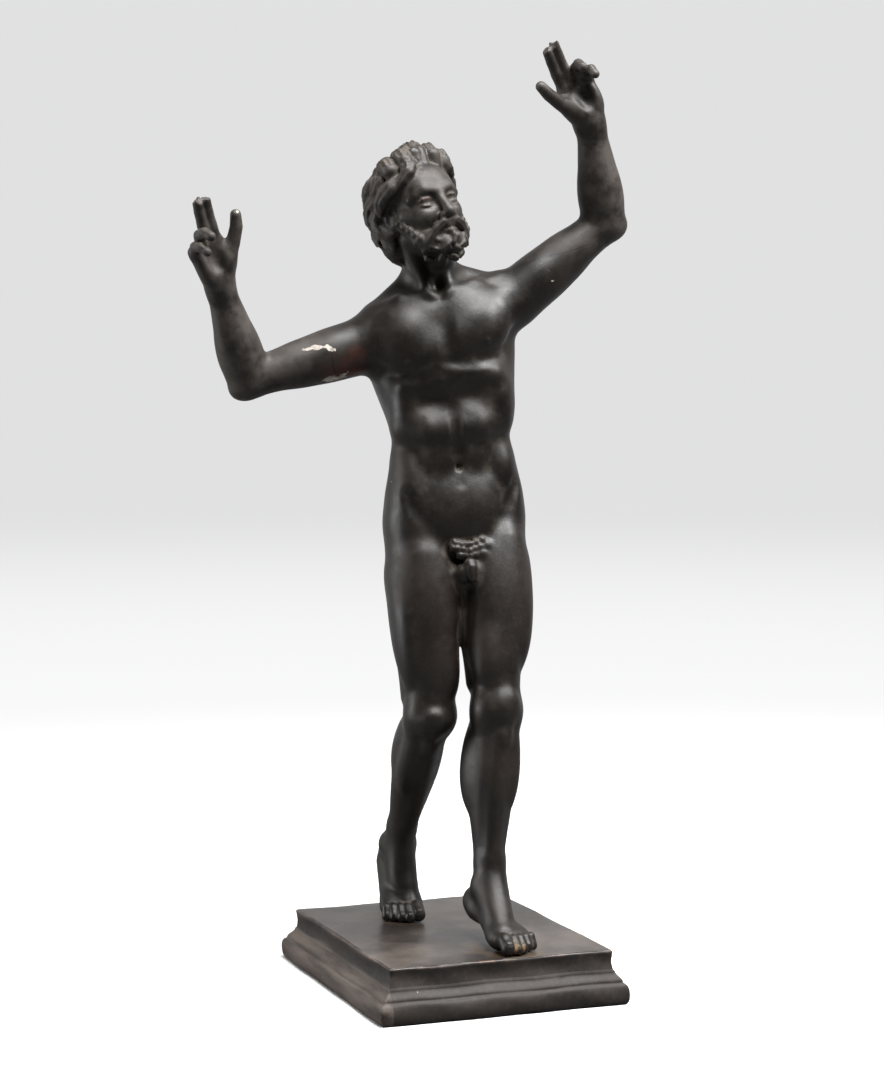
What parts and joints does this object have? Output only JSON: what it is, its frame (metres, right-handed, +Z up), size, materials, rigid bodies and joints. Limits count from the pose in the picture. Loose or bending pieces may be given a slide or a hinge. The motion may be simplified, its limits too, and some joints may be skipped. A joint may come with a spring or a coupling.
{
  "type": "plaster statuette",
  "caption": "Bronzed plaster statuette of a bearded dancer with raised arms, mid-step on a rectangular moulded plinth, for a shelf or table.",
  "frame": {"origin": "middle of the plinth's underside, where the statuette rests", "axes": "+Z up through the figure, -Y to the figure's front, +X to the figure's left"},
  "size_m": [0.2915, 0.2058, 0.6064],
  "materials": {
    "bronzed_plaster": "satin dark bronze paint over white plaster, chipped and dusty",
    "bronzed_plinth": "satin dark bronze paint over white plaster, worn brown along its edges"
  },
  "bodies": {
    "root": {"figure": "bronzed_plaster", "plinth": "bronzed_plinth"}
  },
  "joints": []
}
